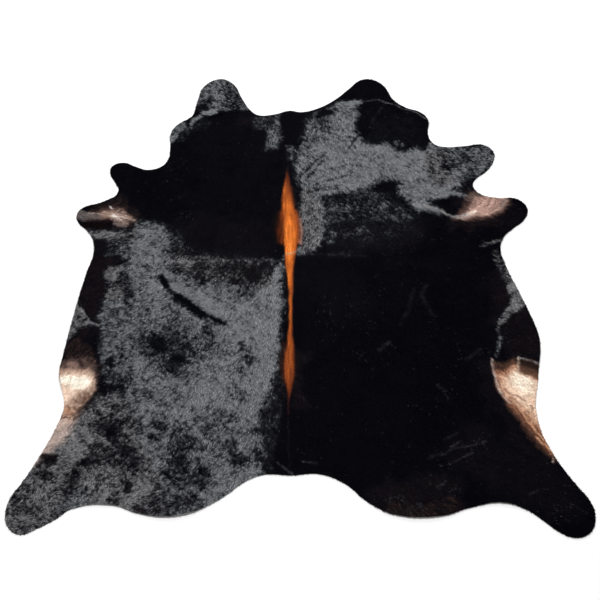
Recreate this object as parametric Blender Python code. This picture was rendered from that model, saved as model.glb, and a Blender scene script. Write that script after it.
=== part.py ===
"""A black cowhide rug with an orange-brown stripe down its back, lying flat with the hair side up.

It is one tanned hide, cut along its natural outline: the neck edge between two cheeks, two forelegs, two elbows,
two flanks, two hind legs, and the notch where the tail was. It is one closed sheet, as thick as the leather and
its lying hair. It has the soft ridges left by folding it, and its edge curls up a little between the tips.
The origin is on the floor, under the middle of the hide's box: +X to the right, +Y to the neck, +Z up.
All sizes are in metres.
"""

import math

import bmesh
import bpy
from mathutils import Vector
from mathutils.geometry import delaunay_2d_cdt, interpolate_bezier

# Thickness of the hide
LEATHER = 0.0024  # the tanned skin alone
COAT = 0.0030  # the short hair, as deep as it lies on the skin
EDGE_COAT = 0.0008  # the same hair at the cut edge, where it is pressed down
EDGE_BAND = 0.012  # width of the band in which the coat thins out towards the cut edge

# Spacing of the sheet's points
EDGE_STEP = 0.016  # along the cut edge
FOLD_STEP = 0.030  # along a ridge
FIELD_STEP = 0.048  # over the open field
RIDGE_GAP = 0.010  # least gap between two ridge points
FIELD_GAP = 0.024  # least gap between a field point and any other point
HANDLE = 0.38  # reach of a curve handle at a landmark, as a share of the way to the next one
SAME_POINT = 0.000001  # points closer than this are one

# The cut edge, clockwise as seen from above: landmark, across, along
OUTLINE = (
    ("root of the tail", -0.025, -0.868),
    ("left buttock, inside", -0.145, -0.869),
    ("left buttock, turn", -0.300, -0.978),
    ("left buttock, lower curve", -0.390, -1.025),
    ("left buttock, bottom", -0.480, -1.038),
    ("left buttock, outside", -0.570, -1.023),
    ("left thigh, bay side", -0.655, -0.992),
    ("left hock, inside", -0.800, -1.006),
    ("left shank, inside", -0.845, -1.042),
    ("left foot, inside", -0.916, -1.086),
    ("left foot, end", -0.970, -1.108),
    ("left foot, corner", -1.012, -1.083),
    ("left foot, outside", -1.030, -1.025),
    ("left shank, outside", -1.015, -0.950),
    ("left hock, outside", -0.983, -0.894),
    ("left thigh, outside", -0.928, -0.778),
    ("left groin, hind side", -0.877, -0.637),
    ("left groin", -0.864, -0.570),
    ("left belly, hind end", -0.895, -0.430),
    ("left belly, front end", -0.889, -0.350),
    ("left ribs", -0.831, 0.062),
    ("left armpit, hind side", -0.812, 0.150),
    ("left armpit", -0.821, 0.225),
    ("left elbow, hind side", -0.853, 0.277),
    ("left elbow, corner", -0.883, 0.310),
    ("left elbow, end", -0.895, 0.350),
    ("left elbow, front corner", -0.873, 0.392),
    ("left elbow, front side", -0.800, 0.423),
    ("left foreleg crook", -0.737, 0.477),
    ("left foreleg, hind side", -0.753, 0.527),
    ("left foreleg, outside", -0.776, 0.575),
    ("left foreleg, corner", -0.771, 0.618),
    ("left foreleg, end", -0.725, 0.639),
    ("left foreleg, front side", -0.672, 0.615),
    ("left brisket bay", -0.622, 0.596),
    ("left throat, corner", -0.556, 0.631),
    ("left throat", -0.538, 0.730),
    ("left jowl, outside", -0.542, 0.785),
    ("left jowl, corner", -0.522, 0.838),
    ("left jowl, front", -0.485, 0.875),
    ("left cheek crook", -0.458, 0.898),
    ("left cheek, outside", -0.437, 0.985),
    ("left cheek, outer corner", -0.410, 1.080),
    ("left cheek, end", -0.340, 1.124),
    ("left cheek, inner corner", -0.288, 1.097),
    ("left cheek, inside", -0.243, 1.003),
    ("left cheek, root", -0.208, 0.937),
    ("neck edge, left", -0.175, 0.908),
    ("neck edge, hollow", -0.110, 0.909),
    ("poll", -0.042, 0.932),
    ("neck edge, right", 0.000, 0.926),
    ("right cheek, root", 0.080, 0.953),
    ("right cheek, inside", 0.150, 1.004),
    ("right cheek, inner slope", 0.212, 1.071),
    ("right cheek, inner corner", 0.250, 1.113),
    ("right cheek, end", 0.295, 1.124),
    ("right cheek, outer corner", 0.350, 1.092),
    ("right cheek crook", 0.399, 0.995),
    ("right jowl, front", 0.440, 0.957),
    ("right jowl, corner", 0.502, 0.925),
    ("right jowl, outside", 0.536, 0.882),
    ("right throat", 0.533, 0.800),
    ("right throat, corner", 0.548, 0.752),
    ("right brisket bay", 0.583, 0.727),
    ("right foreleg, front side", 0.680, 0.732),
    ("right foreleg, front corner", 0.757, 0.739),
    ("right foreleg, end", 0.799, 0.697),
    ("right foreleg, corner", 0.794, 0.645),
    ("right foreleg, hind side", 0.754, 0.581),
    ("right foreleg, root", 0.717, 0.549),
    ("right foreleg crook", 0.702, 0.508),
    ("right elbow, root", 0.736, 0.462),
    ("right elbow, front side", 0.800, 0.446),
    ("right elbow, front corner", 0.870, 0.442),
    ("right elbow, end", 0.912, 0.390),
    ("right elbow, corner", 0.892, 0.325),
    ("right elbow, hind side", 0.847, 0.283),
    ("right armpit, front", 0.808, 0.240),
    ("right armpit", 0.788, 0.175),
    ("right ribs", 0.803, 0.095),
    ("right flank", 0.873, -0.130),
    ("right belly, front end", 0.902, -0.270),
    ("right belly, hind end", 0.884, -0.430),
    ("right groin", 0.862, -0.610),
    ("right thigh", 0.910, -0.787),
    ("right hock, outside", 0.985, -0.920),
    ("right shank, outside", 1.017, -0.970),
    ("right foot, outside", 1.030, -1.030),
    ("right foot, corner", 1.009, -1.096),
    ("right foot, end", 0.958, -1.121),
    ("right foot, inside", 0.902, -1.102),
    ("right shank, inside", 0.850, -1.058),
    ("right hock, inside", 0.800, -1.015),
    ("right thigh bay", 0.715, -0.982),
    ("right buttock, outside", 0.590, -1.002),
    ("right buttock, outer curve", 0.500, -1.034),
    ("right buttock, lower curve", 0.330, -1.030),
    ("right buttock, turn", 0.250, -0.988),
    ("right buttock, inside", 0.140, -0.891),
    ("right of the tail", 0.060, -0.862),
)

# Ridges left in the hide by folding it and by the animal's shape: name, height, half-width, line of (across, along)
RIDGES = (
    ("backbone, shoulders", 0.0030, 0.034, ((-0.042, 0.90), (-0.052, 0.60), (-0.046, 0.17))),
    ("backbone, loin", 0.0034, 0.040, ((-0.040, 0.08), (-0.038, -0.20), (-0.037, -0.55), (-0.030, -0.83))),
    ("cross fold, left", 0.0028, 0.032, ((-0.76, 0.085), (-0.45, 0.103), (-0.10, 0.122))),
    ("cross fold, right", 0.0022, 0.032, ((0.04, 0.120), (0.30, 0.085), (0.56, 0.070))),
    ("hip groove, upper lip", 0.0032, 0.036, ((-0.49, 0.03), (-0.39, -0.075), (-0.26, -0.160))),
    ("hip groove, lower lip", 0.0032, 0.036, ((-0.58, -0.02), (-0.47, -0.125), (-0.35, -0.220))),
    ("left neck, arc", 0.0030, 0.028, ((-0.46, 0.870), (-0.39, 0.915), (-0.30, 0.925), (-0.24, 0.905))),
    ("right neck, arc", 0.0034, 0.028, ((0.24, 0.960), (0.34, 0.985), (0.43, 0.940), (0.51, 0.885))),
    ("left elbow, star", 0.0040, 0.034, ((-0.84, 0.345), (-0.75, 0.340), (-0.63, 0.320))),
    ("right elbow, brow", 0.0038, 0.034, ((0.46, 0.405), (0.55, 0.370), (0.62, 0.340), (0.71, 0.375))),
    ("left flank, brow", 0.0040, 0.032, ((-0.82, -0.120), (-0.785, -0.200), (-0.83, -0.270))),
    ("right flank, brow", 0.0042, 0.034, ((0.78, -0.160), (0.745, -0.240), (0.73, -0.340), (0.725, -0.450))),
    ("right shoulder crease", 0.0026, 0.028, ((0.49, 0.00), (0.475, -0.08), (0.52, -0.180))),
    ("right thigh, wrinkle", 0.0026, 0.026, ((0.51, -0.785), (0.60, -0.745), (0.67, -0.705))),
)

# Stretches of the edge that curl a little off the floor between the tips, which lie flat:
# name, across, along, reach, lift
LIFTS = (
    ("neck edge", -0.090, 0.910, 0.15, 0.006),
    ("left jowl", -0.530, 0.840, 0.12, 0.006),
    ("right jowl", 0.520, 0.900, 0.11, 0.005),
    ("left brisket", -0.620, 0.600, 0.09, 0.004),
    ("right brisket", 0.600, 0.730, 0.08, 0.004),
    ("left armpit", -0.815, 0.170, 0.12, 0.005),
    ("right armpit", 0.790, 0.180, 0.12, 0.005),
    ("left flank", -0.890, -0.420, 0.18, 0.006),
    ("right flank", 0.900, -0.300, 0.18, 0.006),
    ("left thigh", -0.950, -0.830, 0.11, 0.004),
    ("right thigh", 0.930, -0.820, 0.11, 0.004),
    ("left thigh bay", -0.700, -0.985, 0.11, 0.004),
    ("right thigh bay", 0.710, -0.980, 0.11, 0.004),
    ("left buttock", -0.440, -1.035, 0.20, 0.006),
    ("right buttock", 0.420, -1.035, 0.20, 0.005),
)

# Looks
COAT_COLOUR = (0.010, 0.010, 0.013, 1.0)
COAT_ROUGHNESS = 0.55
SHARP_ANGLE = 40.0  # in degrees: the cut edge is sharper than this, and the ridges are softer


def curve_through(landmarks, step):
    """Points about a step apart on a smooth closed curve through the landmarks."""
    count = len(landmarks)
    tangents = []
    for i, landmark in enumerate(landmarks):
        before = (landmark - landmarks[i - 1]).normalized()
        after = (landmarks[(i + 1) % count] - landmark).normalized()
        tangents.append((before + after).normalized())
    curve = []
    for i, start in enumerate(landmarks):
        following = (i + 1) % count
        end = landmarks[following]
        length = (end - start).length
        start_handle = start + tangents[i] * length * HANDLE
        end_handle = end - tangents[following] * length * HANDLE
        pieces = max(1, round(length / step))
        curve += interpolate_bezier(start, start_handle, end_handle, end, pieces + 1)[:-1]
    return [point.to_2d() for point in curve]


def centred(points):
    """The points, moved so that the middle of their box is the origin."""
    across = [point.x for point in points]
    along = [point.y for point in points]
    middle = Vector(((min(across) + max(across)) / 2, (min(along) + max(along)) / 2))
    return [point - middle for point in points]


def inset(outline, width):
    """A clockwise outline moved inwards."""
    moved = []
    for i, point in enumerate(outline):
        along = (outline[(i + 1) % len(outline)] - outline[i - 1]).normalized()
        moved.append(point + Vector((along.y, -along.x)) * width)
    return moved


def is_inside(point, outline):
    """Whether a point is inside an outline: a ray from it along +X then crosses an odd number of edges."""
    inside = False
    for i, end in enumerate(outline):
        start = outline[i - 1]
        if (start.y > point.y) != (end.y > point.y):
            crossing = start.x + (point.y - start.y) / (end.y - start.y) * (end.x - start.x)
            if crossing > point.x:
                inside = not inside
    return inside


def way_to_line(point, line):
    """The shortest way from a point to a line through several points."""
    shortest = math.inf
    for start, end in zip(line, line[1:]):
        run = end - start
        share = min(1.0, max(0.0, (point - start).dot(run) / run.length_squared))
        shortest = min(shortest, (point - start - run * share).length)
    return shortest


def bell(share):
    """A smooth bump: one in its middle, falling to nothing at a share of one."""
    return math.cos(min(1.0, share) * math.pi / 2) ** 2


def rise(point):
    """How far the underside lies off the floor."""
    height = 0.0
    for _, ridge_height, half_width, line in RIDGES:
        way = way_to_line(point, [Vector(corner) for corner in line])
        height = max(height, ridge_height * bell(way / half_width))
    for _, across, along, reach, lift in LIFTS:
        way = (point - Vector((across, along))).length
        height = max(height, lift * bell(way / reach))
    return height


def ridge_points():
    """Points along each ridge's crest and both its feet."""
    points = []
    for _, _, half_width, line in RIDGES:
        corners = [Vector(corner) for corner in line]
        for start, end in zip(corners, corners[1:]):
            run = end - start
            foot = Vector((-run.y, run.x)).normalized() * half_width
            pieces = round(run.length / FOLD_STEP)
            for i in range(pieces + 1):
                crest = start + run * i / pieces
                points += [crest, crest + foot, crest - foot]
    return points


def field_points(outline):
    """Points of an even triangular lattice that covers the outline."""
    row_step = FIELD_STEP * math.sqrt(3) / 2
    rows = round(max(abs(point.y) for point in outline) / row_step)
    columns = round(max(abs(point.x) for point in outline) / FIELD_STEP)
    points = []
    for row in range(-rows, rows + 1):
        shift = FIELD_STEP / 2 if row % 2 else 0.0
        for column in range(-columns, columns + 1):
            points.append(Vector((column * FIELD_STEP + shift, row * row_step)))
    return points


def spaced(candidates, kept, gap, outline):
    """The candidates inside the outline that lie at least a gap from the kept points and from each other."""
    chosen = []
    for point in candidates:
        if is_inside(point, outline) and all((point - other).length >= gap for other in kept + chosen):
            chosen.append(point)
    return chosen


def lay_out():
    """The hide laid out flat: the corners of its triangles, those triangles, and which corners are on the edge."""
    edge = centred(curve_through([Vector((across, along, 0.0)) for _, across, along in OUTLINE], EDGE_STEP))
    band = inset(edge, EDGE_BAND)
    ridges = spaced(ridge_points(), band, RIDGE_GAP, band)
    field = spaced(field_points(edge), band + ridges, FIELD_GAP, band)
    count = len(edge)
    edge_loop = list(range(count))
    band_loop = list(range(count, 2 * count))
    borders = [(loop[i - 1], loop[i]) for loop in (edge_loop, band_loop) for i in range(count)]
    points = edge + band + ridges + field
    inside_only = 1
    result = delaunay_2d_cdt(points, borders, [edge_loop], inside_only, SAME_POINT)
    corners, _, triangles, sources = result[:4]
    on_edge = [min(source) < count for source in sources]
    return corners, triangles, on_edge


def build_sheet(bm):
    """The closed sheet: its underside, its top, and the cut edge between them."""
    corners, triangles, on_edge = lay_out()
    under = []
    top = []
    for corner, is_edge in zip(corners, on_edge):
        height = rise(corner)
        thickness = LEATHER + (EDGE_COAT if is_edge else COAT)
        under.append(bm.verts.new((corner.x, corner.y, height)))
        top.append(bm.verts.new((corner.x, corner.y, height + thickness)))
    for triangle in triangles:
        bm.faces.new([under[i] for i in triangle])
        bm.faces.new([top[i] for i in reversed(triangle)])
    open_edges = [edge for edge in bm.edges if edge.is_boundary]
    wall = bmesh.ops.bridge_loops(bm, edges=open_edges)
    bmesh.ops.triangulate(bm, faces=wall["faces"])
    bmesh.ops.recalc_face_normals(bm, faces=bm.faces[:])


def coat_material():
    """The glossy black hair that covers the hide."""
    material = bpy.data.materials.new("cowhide")
    material.use_nodes = True
    shader = material.node_tree.nodes["Principled BSDF"]
    shader.inputs["Base Color"].default_value = COAT_COLOUR
    shader.inputs["Roughness"].default_value = COAT_ROUGHNESS
    shader.inputs["Metallic"].default_value = 0.0
    return material


def make_hide():
    """The one piece of the rug."""
    bm = bmesh.new()
    build_sheet(bm)
    mesh = bpy.data.meshes.new("hide")
    bm.to_mesh(mesh)
    bm.free()
    mesh.materials.append(coat_material())
    mesh.shade_smooth()
    mesh.set_sharp_from_angle(angle=math.radians(SHARP_ANGLE))
    hide = bpy.data.objects.new("hide", mesh)
    bpy.context.scene.collection.objects.link(hide)


for leftover in list(bpy.data.objects):
    bpy.data.objects.remove(leftover)
make_hide()
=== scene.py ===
import math

import bmesh
import bpy
import numpy as np
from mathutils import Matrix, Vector
from mathutils.bvhtree import BVHTree
from mathutils.geometry import delaunay_2d_cdt
from mathutils.kdtree import KDTree


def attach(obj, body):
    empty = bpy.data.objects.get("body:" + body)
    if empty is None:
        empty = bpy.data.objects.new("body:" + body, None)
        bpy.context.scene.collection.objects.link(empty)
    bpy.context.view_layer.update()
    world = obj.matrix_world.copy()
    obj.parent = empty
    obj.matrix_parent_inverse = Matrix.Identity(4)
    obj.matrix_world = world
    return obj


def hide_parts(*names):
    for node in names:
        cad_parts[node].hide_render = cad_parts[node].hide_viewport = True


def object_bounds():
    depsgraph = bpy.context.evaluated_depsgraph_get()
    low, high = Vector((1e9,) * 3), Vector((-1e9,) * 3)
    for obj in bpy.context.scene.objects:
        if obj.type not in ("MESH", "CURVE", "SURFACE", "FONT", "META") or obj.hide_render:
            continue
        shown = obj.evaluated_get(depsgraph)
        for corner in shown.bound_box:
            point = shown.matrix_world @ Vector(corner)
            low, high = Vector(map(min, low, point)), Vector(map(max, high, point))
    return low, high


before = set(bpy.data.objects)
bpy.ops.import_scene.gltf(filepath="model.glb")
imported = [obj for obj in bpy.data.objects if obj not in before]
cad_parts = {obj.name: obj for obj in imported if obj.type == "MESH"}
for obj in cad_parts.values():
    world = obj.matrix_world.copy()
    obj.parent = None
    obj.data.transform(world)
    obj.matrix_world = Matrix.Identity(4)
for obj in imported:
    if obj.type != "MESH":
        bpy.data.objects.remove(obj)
cad_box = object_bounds()


# ----------------------------------------------------------------------------------------------------
# The leather. One whole tanned hide, 2.4 mm thick, cut with a knife along its natural outline. Its grain side
# carries the hair, and its flesh side, on the floor, is buffed to a pale suede. It lies loose.

LEATHER_THICKNESS = 0.0024
CUT_EDGE_INSET = 0.002  # the hair reaches this far past the leather
CUT_EDGE_STEP = 0.006
LEATHER_STEP = 0.022
RELIEF_STEP = 0.010
RELIEF_MARGIN = 0.02
RELIEF_BLUR = 0.014
BLUR_STEPS = 4
LATTICE_CLEARANCE = 0.45  # share of a mesh's step that its edge keeps clear of its lattice
UV_MARGIN = 0.005

frame_hide = bmesh.new()
frame_hide.from_mesh(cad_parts["hide"].data)
bmesh.ops.remove_doubles(frame_hide, verts=frame_hide.verts[:], dist=0.00001)
frame_hide.normal_update()


def follow_cut_edge(bm):
    """The lower rim of the hide in the frame, as an ordered loop of points seen from above."""
    def is_rim(edge):
        """A rim edge has a face that looks down on one side and an upright face on the other."""
        heights = sorted(face.normal.z for face in edge.link_faces)
        return len(heights) == 2 and heights[0] < -0.5 < heights[1] < 0.5
    following = {}
    for edge in bm.edges:
        if is_rim(edge):
            a, b = edge.verts
            following.setdefault(a, []).append(b)
            following.setdefault(b, []).append(a)
    start = next(iter(following))
    loop = [start]
    ahead = following[start][0]
    while ahead is not start:
        behind = loop[-1]
        loop.append(ahead)
        ahead = next(v for v in following[ahead] if v is not behind)
    return np.array([v.co.xy for v in loop])


def smooth_loop(points, step):
    """Points a step apart on a smooth closed curve through the given ones."""
    before = np.roll(points, 1, 0)
    after = np.roll(points, -1, 0)
    beyond = np.roll(points, -2, 0)
    fine = []
    for share in np.arange(0.0, 1.0, 0.1):
        a = -share + 2 * share**2 - share**3
        b = 2 - 5 * share**2 + 3 * share**3
        c = share + 4 * share**2 - 3 * share**3
        d = -share**2 + share**3
        fine.append((a * before + b * points + c * after + d * beyond) / 2)
    fine = np.stack(fine, 1).reshape(-1, 2)
    closed = np.vstack([fine, fine[:1]])
    reach = np.concatenate([[0], np.cumsum(np.linalg.norm(np.diff(closed, axis=0), axis=1))])
    places = np.linspace(0, reach[-1], round(reach[-1] / step), endpoint=False)
    return np.stack([np.interp(places, reach, closed[:, axis]) for axis in (0, 1)], 1)


outline = smooth_loop(follow_cut_edge(frame_hide), CUT_EDGE_STEP)
along_edge = np.roll(outline, -1, 0) - np.roll(outline, 1, 0)
along_edge /= np.linalg.norm(along_edge, axis=1)[:, None]
inward = np.stack([along_edge[:, 1], -along_edge[:, 0]], 1)
turn = outline[:, 0] * np.roll(outline[:, 1], -1) - outline[:, 1] * np.roll(outline[:, 0], -1)
runs_left = turn.sum() > 0
if runs_left:
    inward = -inward

edge_tree = KDTree(len(outline))
for index, point in enumerate(outline):
    edge_tree.insert((point[0], point[1], 0.0), index)
edge_tree.balance()


def way_in(x, y):
    """How far each place lies inside the outline, negative outside it."""
    found = np.array([edge_tree.find((a, b, 0.0))[1] for a, b in zip(x.tolist(), y.tolist())])
    from_edge_x = x - outline[found, 0]
    from_edge_y = y - outline[found, 1]
    side = from_edge_x * inward[found, 0] + from_edge_y * inward[found, 1]
    reach = np.hypot(from_edge_x, from_edge_y)
    return np.where(side > 0, reach, -reach)


frame_tree = BVHTree.FromBMesh(frame_hide)
relief_x, relief_y = (
    np.arange(cad_box[0][axis] - RELIEF_MARGIN, cad_box[1][axis] + RELIEF_MARGIN + RELIEF_STEP, RELIEF_STEP)
    for axis in (0, 1)
)
relief = np.zeros((len(relief_y), len(relief_x)))
for row, y in enumerate(relief_y):
    for column, x in enumerate(relief_x):
        hit = frame_tree.ray_cast((x, y, -1.0), (0, 0, 1))[0] or frame_tree.find_nearest((x, y, 0.0))[0]
        relief[row, column] = hit.z
blur = np.exp(-(np.arange(-BLUR_STEPS, BLUR_STEPS + 1) * RELIEF_STEP / RELIEF_BLUR) ** 2)
blur /= blur.sum()
for axis in (0, 1):
    pads = [(BLUR_STEPS, BLUR_STEPS) if axis == other else (0, 0) for other in (0, 1)]
    padded = np.pad(relief, pads, mode="edge")
    relief = np.apply_along_axis(lambda line: np.convolve(line, blur, "valid"), axis, padded)
frame_hide.free()


def between(grid, row, column, next_row, next_column, up, right):
    """Values between four points of a grid."""
    near = grid[row, column] * (1 - right) + grid[row, next_column] * right
    far = grid[next_row, column] * (1 - right) + grid[next_row, next_column] * right
    return near * (1 - up) + far * up


def rise(x, y):
    """How far the leather lies off the floor, as the frame has it, with its ridges rounded."""
    across = np.clip((x - relief_x[0]) / RELIEF_STEP, 0, len(relief_x) - 1.001)
    along = np.clip((y - relief_y[0]) / RELIEF_STEP, 0, len(relief_y) - 1.001)
    column = across.astype(int)
    row = along.astype(int)
    return between(relief, row, column, row + 1, column + 1, along - row, across - column)


def lay_out(loop, step):
    """A flat triangle mesh inside a loop of points, which come first, with an even lattice inside it."""
    row_step = step * math.sqrt(3) / 2
    rows = np.arange(cad_box[0].y, cad_box[1].y, row_step)
    columns = np.arange(cad_box[0].x, cad_box[1].x, step)
    x, y = np.meshgrid(columns, rows)
    x[::2] += step / 2
    x = x.ravel()
    y = y.ravel()
    keep = way_in(x, y) > step * LATTICE_CLEARANCE + CUT_EDGE_INSET
    lattice = np.stack([x[keep], y[keep]], 1)
    points = [Vector(p) for p in np.vstack([loop, lattice]).tolist()]
    count = len(loop)
    borders = [((i - 1) % count, i) for i in range(count)]
    result = delaunay_2d_cdt(points, borders, [list(range(count))], 1, 0.000001)
    flat = np.array([p[:] for p in result[0]])
    triangles = np.array(result[2])
    corners = flat[triangles]
    spread = np.cross(corners[:, 1] - corners[:, 0], corners[:, 2] - corners[:, 0])
    triangles[spread < 0] = triangles[spread < 0][:, ::-1]
    return flat, triangles


def make_piece(name, points, faces, material):
    """A piece of the rug from arrays of points and triangles, with a UV map seen from above."""
    mesh = bpy.data.meshes.new(name)
    mesh.vertices.add(len(points))
    mesh.vertices.foreach_set("co", np.ascontiguousarray(points, np.float32).ravel())
    mesh.loops.add(len(faces) * 3)
    mesh.loops.foreach_set("vertex_index", np.ascontiguousarray(faces, np.int32).ravel())
    mesh.polygons.add(len(faces))
    mesh.polygons.foreach_set("loop_start", np.arange(len(faces), dtype=np.int32) * 3)
    mesh.polygons.foreach_set("use_smooth", np.full(len(faces), True))
    mesh.update(calc_edges=True)
    mesh.materials.append(material)
    piece = bpy.data.objects.new(name, mesh)
    bpy.context.scene.collection.objects.link(piece)
    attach(piece, "root")
    flat = points[:, :2]
    low = flat.min(0) - UV_MARGIN
    high = flat.max(0) + UV_MARGIN
    share = (flat - low) / (high - low)
    corner = np.zeros(len(mesh.loops), np.int32)
    mesh.loops.foreach_get("vertex_index", corner)
    layer = mesh.uv_layers.new(name="OFBake")
    layer.data.foreach_set("uv", np.ascontiguousarray(share[corner], np.float32).ravel())
    return piece


def start_finish(name, shine):
    """A new material with little shine, its nodes, its links and its shader."""
    finish = bpy.data.materials.new(name)
    finish.use_nodes = True
    shader = finish.node_tree.nodes["Principled BSDF"]
    shader.inputs["Specular IOR Level"].default_value = shine
    return finish, finish.node_tree.nodes, finish.node_tree.links, shader


def add_fibres(nodes, links, shader, scale, detail, strength, height):
    """Fine fibres over a finish, raised a little."""
    place = nodes.new("ShaderNodeTexCoord")
    fibres = nodes.new("ShaderNodeTexNoise")
    fibres.inputs["Scale"].default_value = scale
    fibres.inputs["Detail"].default_value = detail
    links.new(place.outputs["Object"], fibres.inputs["Vector"])
    raised = nodes.new("ShaderNodeBump")
    raised.inputs["Strength"].default_value = strength
    raised.inputs["Distance"].default_value = height
    links.new(fibres.outputs["Fac"], raised.inputs["Height"])
    links.new(raised.outputs["Normal"], shader.inputs["Normal"])
    return fibres.outputs["Fac"]


suede, nodes, links, shader = start_finish("suede_flesh_side", 0.2)
shader.inputs["Roughness"].default_value = 0.9
nap = add_fibres(nodes, links, shader, scale=55.0, detail=6.0, strength=0.35, height=0.0006)
tones = nodes.new("ShaderNodeValToRGB")
tones.color_ramp.elements[0].position = 0.3
tones.color_ramp.elements[0].color = (0.20, 0.18, 0.16, 1)
tones.color_ramp.elements[1].position = 0.75
tones.color_ramp.elements[1].color = (0.42, 0.38, 0.34, 1)
links.new(nap, tones.inputs["Fac"])
links.new(tones.outputs["Color"], shader.inputs["Base Color"])

leather_edge = outline + inward * CUT_EDGE_INSET
flat, triangles = lay_out(leather_edge, LEATHER_STEP)
count = len(flat)
height = rise(flat[:, 0], flat[:, 1])
under = np.column_stack([flat, height])
top = np.column_stack([flat, height + LEATHER_THICKNESS])
here = np.arange(len(leather_edge))
after = (here + 1) % len(leather_edge)
wall = np.vstack(
    [np.column_stack([here, here + count, after]), np.column_stack([after, here + count, after + count])]
)
if runs_left:
    wall = wall[:, ::-1]
leather = make_piece(
    "leather", np.vstack([under, top]), np.vstack([triangles[:, ::-1], triangles + count, wall]), suede
)
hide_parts("hide")


# ----------------------------------------------------------------------------------------------------
# The ground coat. Cattle hair as it grew on the animal: it lies flat, backwards from the neck to the tail and
# outwards from the backbone, down each leg. Most of it is near black, a little browner along the left ribs.

# Hair colours are red, green and blue as a screen shows them, from 0 to 255
GROUND_TONES = ((0.0, (4, 4, 11)), (0.5, (24, 18, 21)), (1.0, (64, 47, 40)))
BACKBONE = -0.04
SPREAD_HEADING = 58.0  # degrees from straight back, reached at the flanks
SPREAD_WIDTH = 0.58
TURN_PULL = 2.2
WAVES = ((0.09, 0.9, 11), (0.03, 0.7, 12))  # size, swing and seed
CLOUD_CELLS = 199
CLOUD_START = 5000
STREAK_STEPS = 3
STREAK_CONTRAST = 2.3
BROAD_RAG = 0.045
FINE_RAG = 0.014

# The lists of marks on the hide, here and below, give places in millimetres from its middle: across, to the
# right, and along, to the neck. Half-widths, reaches and softnesses are in millimetres too.

# Where a leg or cheek turns the hair: place across, place along, heading in degrees (0 to the tail, 90 to the
# right), reach
TURNS = (
    (-950, -1020, -38, 220),  # left foot
    (950, -1020, 38, 220),  # right foot
    (-820, 350, -82, 140),  # left elbow
    (840, 380, 84, 150),  # right elbow
    (-720, 580, -70, 120),  # left foreleg
    (720, 660, 76, 150),  # right foreleg
    (-350, 1040, -158, 130),  # left cheek
    (300, 1050, 155, 130),  # right cheek
    (-830, -460, -20, 150),  # left flank
    (820, -550, 30, 170),  # right flank
)

# Where the black turns brown: share of brown, half-width, line
BROWNED = (
    (0.36, 80, (-800, 200), (-790, -20), (-830, -200)),  # left ribs
    (0.56, 50, (-860, -310), (-800, -340)),  # left flank
    (0.4, 70, (-450, 100), (-120, 60)),  # cross fold, left
    (0.2, 100, (-420, 260), (-200, 220)),  # left shoulder, rear
    (0.3, 30, (-250, 880), (-160, 880)),  # nape, left
    (0.26, 90, (120, 240), (300, 240), (420, 260)),  # right shoulder
    (0.12, 100, (50, 50), (200, -100)),  # right of the stripe
    (0.34, 80, (800, -20), (840, -300)),  # right flank
    (0.24, 50, (700, -420), (760, -620), (860, -800)),  # right belly, inner side
    (0.22, 100, (620, -760), (760, -860), (900, -950)),  # right hock
    (0.52, 42, (340, -1030), (440, -1030), (540, -1000)),  # right rump
    (0.3, 60, (300, -960), (520, -920)),  # right rump, inner side
    (0.7, 35, (-580, -990), (-500, -1020), (-400, -1010)),  # left rump
    (0.4, 30, (-85, -340), (-100, -500), (-120, -800)),  # left of the stripe, rear
    (0.3, 30, (-5, -360), (-10, -550)),  # right of the stripe, rear
    (0.34, 40, (680, 490), (660, 440)),  # right elbow
    (0.4, 30, (620, 300), (720, 310), (780, 330)),  # right elbow, rear
    (0.2, 50, (820, 330), (870, 360)),  # right elbow, tip
    (0.5, 40, (-800, 430), (-680, 380)),  # left elbow
)


def ease(share):
    """A smooth step from 0 to 1."""
    share = np.clip(share, 0, 1)
    return share * share * (3 - 2 * share)


def clouds(x, y, size, seed):
    """Soft random patches about as large as size, from 0 to 1."""
    lattice = np.random.default_rng(seed).random((CLOUD_CELLS, CLOUD_CELLS))
    across = x / size + CLOUD_START
    along = y / size + CLOUD_START
    column = np.floor(across).astype(int)
    row = np.floor(along).astype(int)
    cells = [value % CLOUD_CELLS for value in (row, column, row + 1, column + 1)]
    return between(lattice, *cells, ease(along - row), ease(across - column))


def turned(across, along, angle):
    """Directions turned by an angle."""
    return across * np.cos(angle) - along * np.sin(angle), across * np.sin(angle) + along * np.cos(angle)


def hair_heading(x, y):
    """The direction in which the hair lies, as steps across and along."""
    angle = np.radians(SPREAD_HEADING * np.tanh((x - BACKBONE) / SPREAD_WIDTH))
    across = np.sin(angle)
    along = -np.cos(angle)
    for turn_x, turn_y, heading, reach in TURNS:
        way = (x - turn_x / 1000) ** 2 + (y - turn_y / 1000) ** 2
        pull = TURN_PULL * np.exp(-way / (reach / 1000) ** 2)
        across = across + pull * math.sin(math.radians(heading))
        along = along - pull * math.cos(math.radians(heading))
    wave = sum((clouds(x, y, size, seed) - 0.5) * swing for size, swing, seed in WAVES)
    across, along = turned(across, along, wave)
    size = np.hypot(across, along) + 0.000001
    return across / size, along / size


def hair_streaks(x, y, size, seed):
    """Random streaks along the hair, about as wide as size and four times as long, from 0 to 1."""
    across, along = hair_heading(x, y)
    total = np.zeros(len(x))
    for step in range(-STREAK_STEPS, STREAK_STEPS + 1):
        total += clouds(x + across * step * size * 0.7, y + along * step * size * 0.7, size, seed)
    return np.clip((total / (2 * STREAK_STEPS + 1) - 0.5) * STREAK_CONTRAST + 0.5, 0, 1)


def way_to_line(x, y, line):
    """How far each place lies from a line through several corners."""
    line = [(across / 1000, along / 1000) for across, along in line]
    best = np.full(len(x), 9.0)
    for (ax, ay), (bx, by) in zip(line, line[1:]):
        run_x = bx - ax
        run_y = by - ay
        share = np.clip(((x - ax) * run_x + (y - ay) * run_y) / (run_x**2 + run_y**2), 0, 1)
        best = np.minimum(best, np.hypot(x - ax - share * run_x, y - ay - share * run_y))
    return best


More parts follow.
